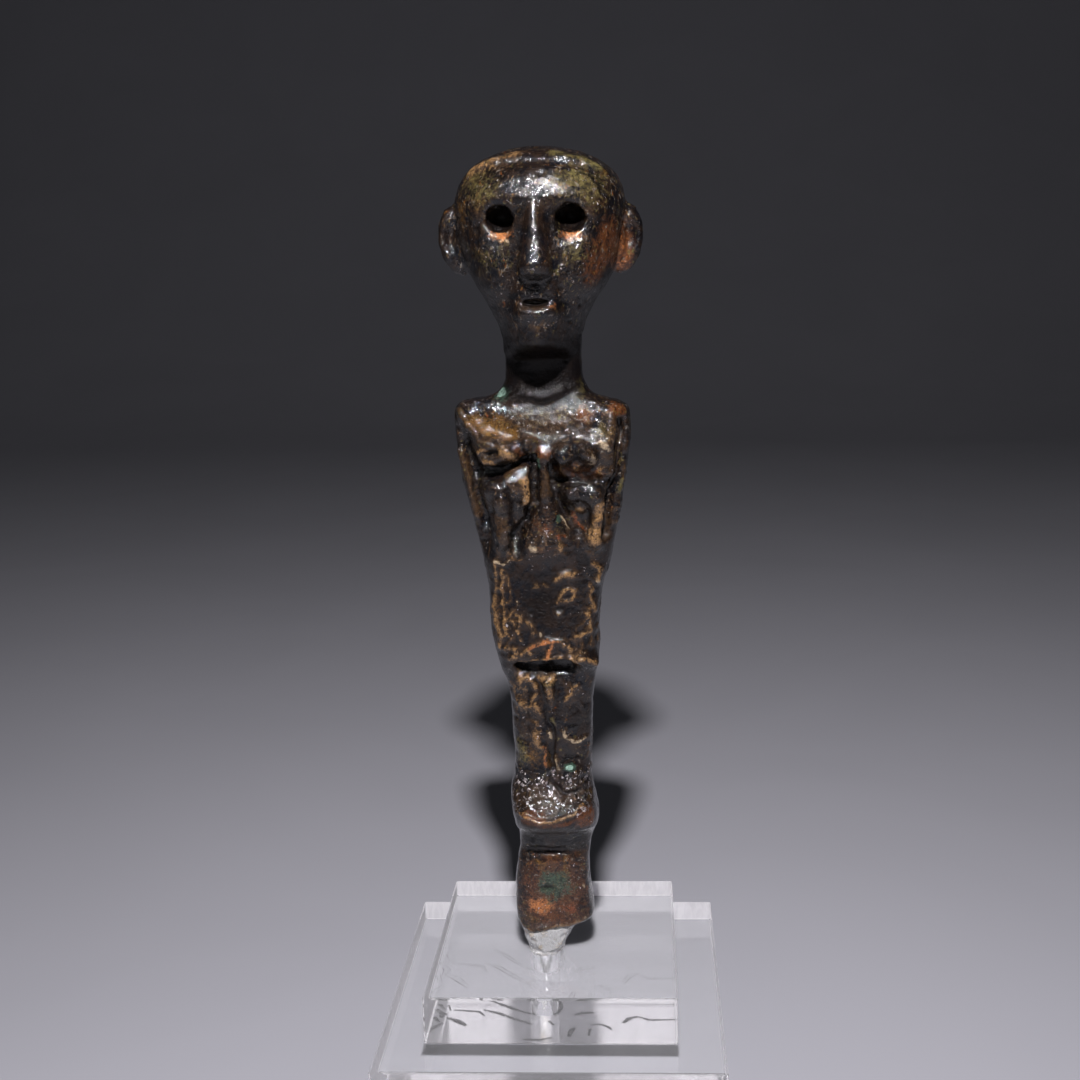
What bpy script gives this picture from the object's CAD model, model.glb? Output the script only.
"""Finer form, finishes and studio stage of a cast bronze votive figure on a stepped acrylic stand."""

import math

import bmesh
import bpy
import numpy as np
from mathutils import Matrix, Vector


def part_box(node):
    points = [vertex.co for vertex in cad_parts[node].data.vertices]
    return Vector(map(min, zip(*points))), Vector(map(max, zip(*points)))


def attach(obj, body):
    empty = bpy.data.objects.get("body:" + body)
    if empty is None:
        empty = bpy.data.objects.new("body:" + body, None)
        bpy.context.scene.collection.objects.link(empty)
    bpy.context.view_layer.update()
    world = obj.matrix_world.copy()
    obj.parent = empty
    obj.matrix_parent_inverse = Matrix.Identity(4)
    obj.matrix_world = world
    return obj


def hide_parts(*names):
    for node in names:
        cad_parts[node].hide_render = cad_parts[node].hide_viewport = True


bl_info = {
    "name": "Bronze votive figure",
    "version": (1, 0, 0),
    "blender": (4, 5, 0),
    "location": "3D View > Sidebar > Votive figure",
    "description": "Builds the finer form, the finishes and the studio stage of a bronze votive figure",
    "category": "Object",
}

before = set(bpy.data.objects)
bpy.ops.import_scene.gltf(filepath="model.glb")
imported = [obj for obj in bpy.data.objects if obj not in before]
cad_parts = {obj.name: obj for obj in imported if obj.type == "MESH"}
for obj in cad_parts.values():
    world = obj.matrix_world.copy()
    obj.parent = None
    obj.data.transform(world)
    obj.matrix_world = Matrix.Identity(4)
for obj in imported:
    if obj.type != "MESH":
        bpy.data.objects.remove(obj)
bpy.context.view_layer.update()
MM = 0.001

# Places taken from the CAD nodes, in metres
FIGURE_LOW, FIGURE_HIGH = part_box("bronze_figure")
BLOCK_LOW, BLOCK_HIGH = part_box("upper_block")
PLATE_LOW, PLATE_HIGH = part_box("lower_plate")
ADHESIVE_LOW, ADHESIVE_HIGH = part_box("mounting_adhesive")

# The figure's own axes, in millimetres: its middle stands forward of the stand's, over the block's top
BLOCK_TOP = BLOCK_HIGH[2] / MM
PLATE_TOP = PLATE_HIGH[2] / MM
FIGURE_Y = -5.0
TANG_FOOT = BLOCK_TOP + 4.7
HEAD_CENTRE = 0.6
BODY_CENTRE = 0.2

# Relief on the front: path of x and height in mm, width in mm, rise in mm, and the tint it carries
FRONT_STROKES = [
    # Neckline and collar
    ([(-15.0, 108.2), (-13.6, 105.6), (-11.4, 102.9), (-8.2, 101.9), (-5.2, 100.9)], 0.75, 1.0, "brown"),
    ([(-14.2, 107.6), (-12.4, 104.4), (-9.8, 103.4), (-7.6, 102.9)], 0.5, 0.35, None),
    ([(-12.6, 106.4), (-8.6, 104.9), (-5.0, 104.2)], 1.9, -0.45, "ochre"),
    ([(-4.9, 103.0), (-3.0, 102.7), (-1.0, 102.8)], 0.55, 0.6, None),
    ([(-2.7, 102.2), (-2.1, 100.8)], 0.6, 0.6, None),
    ([(-4.2, 101.4), (-3.6, 100.2)], 0.7, 0.4, "rust"),
    ([(-6.0, 110.4), (-3.4, 111.3), (-0.6, 110.6), (2.2, 110.7), (4.4, 111.8)], 0.7, 0.45, None),
    ([(-12.8, 109.7), (-9.6, 109.4)], 0.6, 0.3, None),
    # Left breast, its pit and the deep slanting fold under it
    ([(-11.0, 100.4), (-6.0, 100.4)], 1.7, 0.9, None),
    ([(-7.4, 100.9), (-5.6, 100.2)], 0.9, 0.6, "tan"),
    ([(-9.4, 100.6), (-8.3, 100.9)], 0.6, -0.9, "dark"),
    ([(-10.2, 98.9), (-9.2, 98.9)], 0.7, 0.45, "tan"),
    ([(-11.4, 101.0), (-10.2, 101.2)], 0.7, 0.35, "tan"),
    ([(-3.2, 99.3), (-4.9, 97.9), (-8.0, 96.9), (-11.4, 96.9)], 0.75, -1.1, None),
    ([(-12.4, 100.4), (-12.3, 96.4)], 0.8, -0.7, None),
    # Left sleeve plane and fist
    ([(-4.8, 97.0), (-7.0, 94.6)], 1.9, 0.9, None),
    ([(-4.2, 97.4), (-6.4, 95.8), (-5.0, 93.8)], 1.1, 0.3, "brown"),
    ([(-10.0, 93.9), (-8.6, 94.2), (-7.4, 93.0), (-6.6, 91.6)], 0.75, 0.65, None),
    ([(-9.6, 92.9), (-7.8, 92.4)], 2.1, 0.7, None),
    ([(-2.8, 97.8), (-2.5, 95.0)], 0.4, 0.5, None),
    ([(-3.0, 95.4), (-2.6, 93.2), (-3.1, 91.2)], 0.85, 0.85, "tan"),
    ([(-5.4, 91.6), (-4.2, 91.2)], 0.6, -0.5, "dark"),
    ([(-3.6, 88.0), (-2.4, 88.2)], 0.4, 0.3, None),
    ([(-1.9, 90.0), (-1.7, 90.2)], 0.5, 0.5, None),
    # Hanging folds
    ([(-7.5, 90.8), (-7.7, 87.0), (-7.2, 83.2)], 1.5, 0.9, "brown"),
    ([(10.9, 90.2), (10.6, 87.8)], 1.3, 0.9, "tan"),
    ([(10.3, 86.0), (9.9, 83.2)], 1.6, 0.95, "tan"),
    ([(-5.3, 89.6), (-5.0, 84.4)], 0.9, -0.6, None),
    ([(8.5, 88.6), (8.9, 86.4)], 0.7, -0.6, "dark"),
    # Middle strip between its two spreading grooves
    ([(0.5, 100.5), (0.6, 92.0)], 1.2, 0.55, None),
    ([(-1.5, 99.4), (-1.4, 95.0), (-1.3, 91.2), (-3.2, 87.2), (-5.6, 82.4)], 0.62, -1.0, None),
    ([(2.1, 98.4), (2.3, 94.8), (3.1, 91.2), (4.6, 88.4), (6.6, 85.4)], 0.55, -0.9, None),
    ([(-0.5, 99.6), (-0.3, 98.2)], 0.6, 0.4, "green"),
    ([(1.6, 99.3), (2.1, 98.4)], 0.4, 0.6, None),
    ([(0.4, 101.2), (0.9, 100.4)], 0.8, 0.2, "rust"),
    ([(0.5, 97.0), (0.8, 94.4), (0.9, 92.6)], 0.8, 0.35, "brown"),
    ([(0.4, 90.0), (-0.5, 83.0)], 3.0, 0.5, None),
    ([(0.6, 89.6), (1.2, 87.4)], 1.3, 0.35, None),
    ([(3.8, 88.2), (4.7, 87.2), (5.5, 86.1)], 0.35, 0.4, "pale"),
    ([(5.7, 89.0), (6.6, 86.8), (7.8, 85.0)], 0.4, 0.4, "red"),
    ([(2.8, 84.6), (4.0, 84.4)], 0.6, 0.2, "red"),
    ([(3.0, 82.6), (3.2, 81.8)], 0.7, 0.5, "tan"),
    ([(-2.2, 82.4), (-1.4, 82.0)], 0.6, 0.4, "pale"),
    ([(0.6, 83.2), (1.3, 82.8)], 0.6, 0.45, None),
    # Right breast, its knobs and the shelf under it
    ([(3.8, 100.4), (9.4, 100.0)], 1.6, 0.8, None),
    ([(4.1, 100.5), (4.4, 99.9)], 0.9, 0.9, None),
    ([(3.0, 101.4), (5.4, 101.8)], 0.5, 0.45, None),
    ([(7.8, 101.0), (8.2, 100.4)], 0.9, 0.85, None),
    ([(9.0, 99.7), (9.4, 99.1)], 0.7, 0.6, "pale"),
    ([(6.2, 100.8), (6.6, 99.2)], 0.6, -0.8, "dark"),
    ([(4.3, 98.4), (4.3, 96.4)], 0.6, 0.5, "tan"),
    ([(7.0, 98.2), (6.8, 97.2)], 0.5, 0.35, "tan"),
    ([(4.0, 97.0), (11.0, 96.6)], 1.3, 0.45, "rust"),
    ([(11.2, 97.4), (11.0, 96.4)], 0.6, 0.5, "tan"),
    ([(2.8, 95.4), (6.0, 94.9), (10.8, 95.0)], 0.6, -0.95, None),
    # Right fist
    ([(5.6, 92.8), (9.8, 92.4)], 1.9, 0.8, None),
    ([(5.2, 93.2), (7.4, 93.9), (9.2, 94.1)], 0.6, 0.6, None),
    ([(9.7, 92.6), (10.2, 92.1)], 0.7, 0.6, None),
    ([(9.1, 90.9), (9.4, 90.2)], 0.6, 0.5, None),
    ([(6.0, 92.0), (7.8, 91.6)], 0.7, 0.45, None),
    ([(6.5, 89.4), (7.1, 89.3)], 0.6, 0.5, "tan"),
    # Shoulder plate and arms
    ([(13.4, 106.5), (13.0, 96.5)], 1.8, 0.55, None),
    ([(14.2, 107.4), (13.6, 103.6), (13.3, 98.0), (12.8, 95.6)], 1.0, 0.5, "brown"),
    ([(11.2, 108.3), (12.0, 107.8)], 1.0, 0.4, None),
    ([(11.2, 102.0), (12.0, 101.3)], 0.8, 0.5, "pale"),
    ([(10.4, 105.4), (12.0, 104.4), (12.4, 102.8)], 0.45, -0.35, None),
    ([(14.4, 107.0), (15.4, 104.6), (15.7, 101.6)], 0.4, -0.4, None),
    ([(14.0, 108.8), (15.8, 107.6)], 0.9, 0.2, "rust"),
    ([(8.2, 107.8), (8.8, 106.8)], 0.9, 0.2, "rust"),
    (
        [(15.2, 105.6), (14.6, 100.0), (13.8, 95.4), (12.7, 92.0), (12.2, 88.0), (11.8, 84.0)],
        0.55, -0.9, None,
    ),
    ([(16.2, 101.0), (13.8, 86.0)], 1.2, 0.4, None),
    ([(15.2, 94.4), (14.8, 92.4)], 0.7, 0.2, "olive"),
    ([(-14.5, 102.0), (-13.2, 96.0), (-12.0, 91.0), (-11.2, 86.0)], 0.7, -0.9, None),
    ([(-15.6, 100.4), (-14.0, 95.0), (-12.6, 88.0)], 1.0, 0.5, "brown"),
    ([(-13.6, 95.6), (-13.2, 92.8)], 0.3, -0.3, "dark"),
    ([(-11.4, 86.0), (-11.1, 84.8)], 0.4, 0.3, None),
    # Ridged corrosion on the belly
    ([(2.4, 75.3), (4.0, 76.7), (5.8, 76.2)], 0.5, 0.4, "tan"),
    (
        [(2.6, 71.0), (3.4, 73.1), (4.7, 73.9), (6.1, 73.3), (5.8, 72.0), (4.8, 71.2), (3.1, 71.4)],
        0.32, 0.38, "tan",
    ),
    ([(2.6, 69.0), (3.4, 69.0)], 0.5, 0.45, "tan"),
    ([(8.6, 74.2), (8.9, 71.4), (9.6, 69.2)], 0.5, 0.35, "tan"),
    ([(6.0, 64.2), (8.4, 64.6), (8.9, 66.6), (8.3, 68.4)], 0.45, 0.35, "tan"),
    ([(9.4, 78.6), (11.2, 77.4), (10.1, 75.2)], 0.6, 0.35, "tan"),
    ([(10.0, 75.2), (10.1, 74.6)], 0.5, 0.35, "pale"),
    ([(-9.6, 78.8), (-9.1, 74.0), (-9.7, 70.0), (-9.2, 66.0), (-8.8, 62.0)], 0.5, 0.32, "tan"),
    ([(-8.0, 77.4), (-8.2, 73.0), (-7.6, 69.0), (-8.0, 65.0)], 0.4, 0.25, "tan"),
    ([(-9.4, 79.2), (-7.8, 78.6), (-6.5, 79.3)], 0.35, 0.3, "pale"),
    ([(-5.6, 71.4), (-4.9, 70.4)], 0.35, 0.3, "pale"),
    ([(-6.0, 68.6), (-4.5, 68.7), (-5.2, 67.0), (-5.7, 65.4), (-4.8, 63.8)], 0.4, 0.35, "tan"),
    ([(-3.7, 67.4), (-2.7, 66.4), (-2.1, 65.2)], 0.4, 0.45, "tan"),
    ([(-0.8, 65.2), (-0.6, 64.6)], 0.35, 0.3, "pale"),
    ([(-1.6, 74.8), (-1.2, 74.2), (-2.4, 73.8)], 0.3, 0.2, "tan"),
    ([(0.0, 74.6), (0.4, 74.4)], 0.3, 0.2, "tan"),
    # Hem: raised bands over the dark undercut
    ([(-7.6, 62.0), (-6.0, 61.8), (-5.6, 60.2), (-7.4, 59.8)], 0.6, 0.3, "tan"),
    ([(-5.4, 58.7), (-3.2, 59.4), (-0.4, 60.1), (3.2, 60.4)], 0.42, 0.6, "tan"),
    ([(-3.2, 62.3), (-1.0, 63.2), (0.8, 63.7), (2.6, 63.5)], 0.42, 0.45, "orange"),
    ([(1.4, 63.2), (0.8, 61.6), (0.0, 60.3)], 0.5, 0.4, "orange"),
    ([(-4.6, 60.8), (-3.8, 62.2), (-2.8, 61.2)], 0.35, 0.3, "tan"),
    ([(3.4, 63.4), (4.4, 62.6), (5.0, 61.6)], 0.45, 0.35, "tan"),
    ([(-5.0, 58.0), (-2.0, 58.4), (1.0, 58.6), (4.3, 58.4)], 1.15, -1.5, "dark"),
    ([(4.9, 60.1), (6.4, 59.3), (8.2, 59.2), (9.7, 58.3)], 0.6, 0.6, "tan"),
    ([(5.4, 58.6), (6.4, 58.0)], 0.6, 0.3, "tan"),
    ([(7.0, 60.8), (7.5, 60.5)], 0.4, 0.3, "pale"),
    # Legs
    ([(-1.0, 55.6), (0.2, 54.9), (1.2, 55.5)], 1.1, 0.45, "tan"),
    ([(0.3, 54.2), (0.6, 51.2)], 0.85, 0.5, "tan"),
    ([(-5.6, 53.4), (-5.2, 55.0), (-3.8, 55.9), (-2.6, 54.8), (-2.4, 53.2)], 0.5, 0.45, "tan"),
    ([(-3.9, 53.6), (-3.7, 52.8)], 0.8, -0.5, "dark"),
    ([(-5.4, 50.6), (-4.6, 49.6), (-3.2, 49.5)], 0.75, 0.5, "tan"),
    ([(-2.3, 52.2), (-3.0, 51.0)], 0.35, 0.4, "tan"),
    ([(-2.5, 50.0), (-1.4, 48.2)], 0.5, 0.35, "tan"),
    ([(5.8, 54.0), (4.7, 52.4), (3.5, 50.9)], 0.5, 0.45, "tan"),
    ([(6.2, 50.4), (7.0, 48.8)], 0.4, 0.25, None),
    ([(-1.8, 55.0), (-0.4, 50.0), (0.6, 45.0), (0.8, 37.0)], 0.5, -0.5, "dark"),
    ([(2.0, 54.8), (1.4, 49.4)], 0.4, -0.35, "dark"),
    ([(3.1, 44.8), (3.3, 43.2), (4.7, 42.2), (6.2, 42.2), (7.3, 42.5)], 0.38, 0.5, "pale"),
    ([(3.4, 45.1), (5.4, 45.2)], 0.3, 0.3, None),
    ([(-3.0, 44.2), (-2.7, 43.2)], 0.5, 0.35, "tan"),
    ([(-2.2, 42.5), (-1.6, 41.0)], 0.6, 0.4, "tan"),
    ([(-5.2, 41.2), (-4.6, 38.4)], 1.1, 0.35, "olive"),
    ([(-0.9, 41.2), (-0.7, 37.4)], 0.4, 0.35, "orange"),
    ([(0.0, 44.0), (0.4, 42.8)], 0.4, 0.35, "pale"),
    ([(1.4, 38.4), (1.9, 36.8)], 0.45, 0.5, "pale"),
    ([(3.4, 37.2), (4.6, 36.8)], 1.0, 0.35, "green"),
    ([(1.0, 46.8), (1.4, 46.2)], 0.6, 0.25, "olive"),
    # Feet, toe rim, sole and tang
    ([(0.6, 34.6), (1.6, 33.0), (3.2, 32.1), (6.2, 32.2)], 0.42, -0.7, "dark"),
    ([(-1.9, 33.4), (0.0, 35.0), (1.3, 34.4)], 0.5, 0.45, None),
    ([(0.8, 33.0), (1.5, 31.9), (2.3, 31.4)], 0.4, 0.4, None),
    ([(2.6, 35.2), (3.0, 33.0)], 0.5, 0.4, None),
    ([(5.3, 35.2), (5.0, 32.9)], 0.6, 0.5, None),
    ([(-4.2, 32.3), (-3.4, 32.2)], 0.5, 0.45, None),
    (
        [(-5.8, 28.5), (-4.0, 27.7), (-2.0, 27.2), (0.6, 27.3), (2.8, 27.7), (4.6, 28.6), (6.6, 30.0)],
        0.42, 0.65, "tan",
    ),
    ([(-4.2, 29.2), (-3.0, 29.1)], 0.6, 0.4, None),
    ([(-5.4, 27.4), (-1.0, 26.4), (4.6, 27.0)], 0.6, 0.1, "rust"),
    ([(6.2, 28.6), (7.6, 26.6)], 1.2, 0.2, "rust"),
    ([(-4.6, 19.0), (-1.0, 18.9), (3.2, 19.2)], 0.6, -0.3, "dark"),
    ([(-4.2, 8.0), (-3.2, 6.6), (-1.6, 5.8)], 1.0, 0.1, "orange"),
    ([(2.2, 6.2), (4.0, 6.8)], 0.9, 0.05, "red"),
    ([(-2.8, 16.8), (-1.6, 15.8)], 0.9, 0.1, "ochre"),
    ([(2.6, 17.0), (2.7, 14.4)], 0.7, 0.1, "ochre"),
    ([(-5.4, 13.4), (-5.6, 11.0)], 1.0, 0.0, "rust"),
    ([(-5.0, 4.6), (-3.6, 3.4)], 1.0, 0.05, "ochre"),
    ([(-6.2, 1.7), (-4.3, 1.0), (0.0, 1.9), (5.6, 3.1)], 0.55, 0.2, "tan"),
    ([(6.1, 11.4), (6.3, 10.8)], 0.5, 0.1, "pale"),
    ([(6.4, 4.0), (6.4, 3.0)], 0.5, 0.1, "pale"),
]

# Relief of the head, placed by the head's own proportions and not by the photograph
HEAD_STROKES = [
    (
        [(-12.6, 149.9), (-8.0, 152.3), (-3.0, 153.1), (3.6, 153.1), (8.6, 152.3), (12.8, 150.1)],
        0.7, -0.3, None,
    ),
    ([(-12.0, 151.5), (-8.0, 153.9), (-3.0, 154.8)], 1.0, 0.15, "tan"),
    ([(3.6, 154.8), (8.6, 153.9), (12.0, 151.8)], 0.9, 0.15, "olive"),
    ([(2.9, 155.6), (3.1, 152.2), (2.8, 150.8)], 0.25, -0.25, None),
    ([(-0.6, 150.6), (0.4, 147.2), (0.6, 141.0)], 0.8, 0.25, None),
    ([(-2.0, 127.0), (0.6, 126.5), (3.2, 127.2)], 0.7, 0.35, None),
    ([(-1.6, 128.5), (0.6, 128.3), (2.8, 128.6)], 0.35, -0.4, "dark"),
]

# Eyes, placed in the same way: height, and distance out from the head's middle
EYE_LINE = 143.1
EYE_OUT = 6.32

# The dark of each eye: radii between which it ends, and depths between which it starts
EYE_REACH = (1.6, 2.7)
EYE_DEPTH = (-14.6, -13.4)

# Curved hollow of each ear: distance out from the head's middle, and height
EAR_SHELL = ((14.9, 143.6), (16.3, 142.0), (16.7, 139.0), (15.7, 136.2))
EAR_SHELL_WIDTH = 0.75
EAR_SHELL_DEPTH = 0.7

# A cut deeper than this, in mm, has a second and wider hollow
DEEP_CUT = -0.85

# Zones of the figure by height: where each fades in and where it fades out
TUNIC = (56.0, 60.0, 80.0, 84.0)
BELLY = (58.0, 64.0, 78.0, 84.0)
LEGS = (33.0, 36.0, 55.0, 58.0)
ARMS = (82.0, 86.0, 106.0, 110.0)
FEET = (27.0, 29.5, 35.0, 37.5)
COLLAR = (102.0, 104.5, 111.5, 113.0)

# Soft ovals on the front: centre x and height, half width and half height
CHEST_SHEEN = (0.6, 106.4, 6.5, 3.4)
BELLY_SHEEN = (-0.6, 71.0, 7.0, 9.0)
EARTHY_TRIANGLE = (-0.2, 84.5, 4.4, 4.2)
EARTHY_MIDDLE = (0.0, 85.0, 5.0, 4.0)

# One oval for both fists, its centre x counted outwards from the body's middle
FISTS = (8.0, 93.0, 2.6, 2.6)

# Middle of the throat, under the head's shade
THROAT = 116.6

# Reach of a vein's ridge and of the brown beside it, in the noise that draws the veins
VEIN_WIDTH = 0.16
VEIN_EDGE = 0.42

# How far the strokes waver, in mm, and how far inside the CAD node's box the relief stays, in metres
STROKE_SHAKE = 0.40
BOX_MARGIN = 0.01 * MM

# Tints of the strokes are stronger above this height than below it
UPPER_HALF = 81.0
UPPER_STRENGTH = 0.9
LOWER_STRENGTH = 0.74
BROWN_EDGED_TINTS = ("tan", "orange", "pale", "red")

# How thickly the earth specks lie at each height
SPECK_DENSITY = (
    (0.0, 0.85), (18.0, 0.75), (24.0, 0.3), (32.0, 0.6), (50.0, 0.5), (58.0, 0.35), (66.0, 0.22),
    (80.0, 0.2), (88.0, 0.55), (102.0, 0.7), (109.0, 0.85), (113.0, 0.2), (117.0, 0.05), (121.0, 0.6),
    (156.0, 0.85),
)

TINTS = ("brown", "rust", "tan", "ochre", "orange", "red", "green", "olive", "pale", "dark")

# Patches with no relief of their own: centre x and height, half width, half height, tint, strength
FRONT_PATCHES = [
    (-8.0, 105.6, 4.4, 2.4, "ochre", 0.9),
    (-7.6, 111.6, 2.0, 1.6, "green", 1.6),
    (7.8, 112.4, 1.2, 2.4, "olive", 0.8),
    (0.8, 107.0, 6.5, 3.6, "olive", 0.45),
    (11.8, 104.6, 2.0, 2.6, "olive", 0.7),
    (12.6, 105.0, 2.2, 4.4, "tan", 0.42),
    (0.0, 106.0, 11.0, 5.6, "brown", 0.9),
    (0.6, 104.6, 4.0, 2.2, "dark", 0.42),
    (-8.6, 105.0, 5.6, 2.8, "ochre", 0.55),
    (13.0, 103.0, 3.6, 7.0, "brown", 0.8),
    (-7.4, 86.5, 2.6, 6.0, "brown", 0.5),
    (0.2, 85.0, 5.0, 4.6, "brown", 0.6),
    (6.8, 97.6, 5.6, 2.2, "rust", 0.6),
    (0.8, 100.6, 3.0, 1.6, "rust", 0.6),
    (-9.4, 70.0, 2.4, 11.0, "brown", 0.6),
    (7.8, 71.0, 2.2, 11.0, "brown", 0.5),
    (0.0, 62.0, 9.0, 2.6, "brown", 0.5),
    (-3.6, 46.0, 3.6, 10.0, "brown", 0.65),
    (0.0, 30.6, 9.0, 4.6, "brown", 0.95),
    (15.0, 107.8, 2.2, 1.6, "rust", 1.3),
    (15.0, 107.8, 1.6, 1.0, "red", 0.6),
    (8.5, 107.6, 2.0, 1.8, "rust", 1.0),
    (0.4, 86.4, 3.4, 3.6, "rust", 0.52),
    (0.8, 86.4, 2.6, 2.0, "red", 0.34),
    (0.0, 82.0, 5.0, 2.0, "rust", 0.4),
    (-0.6, 83.6, 4.0, 3.0, "tan", 0.36),
    (3.3, 87.6, 0.9, 1.3, "green", 1.03),
    (0.0, 83.0, 4.4, 2.0, "tan", 0.35),
    (6.8, 96.6, 4.2, 1.4, "rust", 0.9),
    (0.6, 100.6, 2.4, 1.2, "rust", 0.9),
    (0.2, 11.4, 4.6, 4.4, "green", 0.95),
    (0.6, 11.2, 3.0, 2.6, "dark", 0.34),
    (0.0, 9.0, 10.0, 13.0, "rust", 0.85),
    (-1.0, 15.0, 9.0, 4.0, "ochre", 0.45),
    (2.0, 8.0, 8.0, 8.0, "red", 0.32),
    (-2.6, 6.8, 2.6, 1.8, "orange", 1.25),
    (3.4, 6.2, 2.2, 1.6, "red", 0.8),
    (1.0, 23.0, 9.0, 2.2, "dark", 0.3),
    (4.0, 37.0, 1.3, 0.9, "green", 1.6),
    (-3.0, 28.2, 3.4, 1.4, "rust", 0.9),
    (7.2, 27.6, 2.4, 2.4, "rust", 1.2),
    (0.0, 30.5, 8.0, 4.0, "ochre", 0.35),
    (0.6, 114.8, 9.0, 6.4, "dark", 1.5),
    (-5.4, 54.0, 2.6, 3.0, "tan", 0.58),
    (-4.4, 49.6, 3.0, 2.2, "tan", 0.60),
    (-2.4, 43.0, 1.8, 4.0, "tan", 0.62),
    (-3.2, 39.4, 2.6, 3.4, "ochre", 0.6),
    (-5.6, 40.0, 1.8, 4.0, "olive", 0.75),
    (5.0, 52.6, 2.0, 3.0, "brown", 0.9),
    (0.2, 38.6, 2.0, 3.6, "ochre", 0.5),
    (0.2, 54.6, 1.8, 1.4, "olive", 0.8),
    (-1.0, 72.0, 6.0, 8.0, "dark", 0.62),
    (6.0, 67.0, 1.8, 2.2, "dark", 0.5),
    (5.2, 47.6, 3.4, 4.6, "dark", 0.66),
    (14.6, 136.4, 3.6, 7.4, "rust", 1.3),
    (15.6, 136.4, 2.4, 5.4, "orange", 0.5),
    (11.4, 133.0, 3.2, 7.0, "rust", 0.85),
    (11.8, 129.0, 2.4, 4.0, "orange", 0.42),
    (-10.0, 146.0, 5.0, 9.0, "brown", 0.62),
    (8.0, 147.0, 7.0, 8.0, "brown", 0.55),
    (0.0, 125.0, 8.0, 5.0, "brown", 0.40),
    (8.4, 149.0, 6.6, 4.6, "olive", 0.72),
    (-9.4, 148.6, 5.0, 4.6, "olive", 0.66),
    (-7.0, 136.6, 4.6, 4.4, "olive", 0.50),
    (7.6, 137.0, 4.0, 4.0, "olive", 0.52),
    (-9.4, 152.6, 4.6, 1.6, "tan", 0.55),
    (-13.2, 144.0, 2.6, 6.0, "ochre", 0.6),
    (-9.6, 145.8, 3.4, 2.0, "ochre", 0.45),
    (12.6, 151.0, 2.4, 1.4, "ochre", 0.5),
    (-5.7, 140.3, 2.6, 1.2, "orange", 0.92),
    (6.9, 140.3, 2.6, 1.2, "orange", 0.92),
    (-5.7, 139.2, 3.0, 0.9, "pale", 0.56),
    (6.9, 139.2, 3.0, 0.9, "pale", 0.56),
    (0.6, 124.6, 5.0, 3.0, "ochre", 0.4),
    (3.6, 128.2, 1.3, 1.5, "orange", 0.5),
]

# Camera fitted to the stand's corners in the photograph
LENS = 44.355
SENSOR = 36.0
SHIFT_X = -0.04995
SHIFT_Y = -0.00033
CAMERA_AT = (19.37, -258.68, PLATE_TOP + 151.61)
CAMERA_PITCH = 12.146
CAMERA_YAW = 2.219
CAMERA_ROLL = 1.044

# The key light stands above the camera, as the shadows behind the figure show
KEY_AT = (0.0177, -0.252, 0.372)
KEY_COLOUR = (0.99, 0.97, 1.0)
FILL_AT = (-1.3, -0.9, 0.9)
FILL_SIZE = 1.4
FILL_COLOUR = (0.92, 0.95, 1.0)
LIT_POINT = (0.0, 0.0, 0.08)
WORLD_COLOUR = (0.88, 0.89, 0.95, 1.0)
WORLD_STRENGTH = 0.018

# Floor and its sweep, in metres
FLOOR_WIDTH = 5.0
FLOOR_LENGTH = 3.2
FLOOR_BACK = 0.2
FLOOR_DROP = 0.02 * MM
SWEEP_HEIGHT = 2.4
SWEEP_RADIUS = 0.9


# Numpy helpers

def smooth_step(low, high, value):
    t = np.clip((value - low) / (high - low), 0.0, 1.0)
    return t * t * (3.0 - 2.0 * t)


def zone(value, fade_in, full, still_full, fade_out):
    """1 between two values and 0 outside them, with a soft edge at each."""
    return smooth_step(fade_in, full, value) * (1.0 - smooth_step(still_full, fade_out, value))


def falloff(reach):
    """1 on a line or in the middle of a spot, fading softly to 0 over about two reaches."""
    return np.exp(-reach ** 2)


def spot(x, z, at_x, at_z, half_width, half_height):
    return falloff(np.hypot((x - at_x) / half_width, (z - at_z) / half_height))


def lattice_noise(points, cell, seed):
    """Smooth noise from -1 to 1 over points in mm, on a lattice with that cell size."""
    size = 64
    table = np.random.default_rng(seed).uniform(-1.0, 1.0, (size, size, size))
    place = points / cell + 31.7
    whole = np.floor(place).astype(int)
    part = place - whole
    part = part * part * (3.0 - 2.0 * part)
    total = np.zeros(len(points))
    for corner in range(8):
        step = np.array([corner & 1, corner >> 1 & 1, corner >> 2 & 1])
        weight = np.prod(np.where(step == 1, part, 1.0 - part), axis=1)
        i, j, k = ((whole + step) % size).T
        total += weight * table[i, j, k]
    return total


def layered_noise(points, cell, seed):
    """Two noises added, the second half as large in its cells and half as strong."""
    return lattice_noise(points, cell, seed) + lattice_noise(points, cell / 2.0, seed + 1) / 2.0


def path_distance(x, z, path):
    nearest = np.full(len(x), np.inf)
    for (ax, az), (bx, bz) in zip(path, path[1:]):
        dx, dz = bx - ax, bz - az
        t = np.clip(((x - ax) * dx + (z - az) * dz) / (dx * dx + dz * dz), 0.0, 1.0)
        nearest = np.minimum(nearest, np.hypot(x - ax - t * dx, z - az - t * dz))
    return nearest


# Mesh helpers

MERGE_DISTANCE = 0.002 * MM


def mesh_points(mesh):
    points = np.empty(len(mesh.vertices) * 3, dtype=np.float32)
    mesh.vertices.foreach_get("co", points)
    return points.reshape(-1, 3).astype(float)


def set_points(mesh, points):
    mesh.vertices.foreach_set("co", points.astype(np.float32).ravel())
    mesh.update()


def point_normals(mesh):
    normals = np.empty(len(mesh.vertices) * 3, dtype=np.float32)
    mesh.vertex_normals.foreach_get("vector", normals)
    return normals.reshape(-1, 3).astype(float)


def put_attribute(mesh, name, values):
    layer = mesh.attributes.new(name, "FLOAT", "POINT")
    layer.data.foreach_set("value", values.astype(np.float32))


def select_only(obj):
    bpy.ops.object.select_all(action="DESELECT")
    obj.select_set(True)
    bpy.context.view_layer.objects.active = obj


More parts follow.
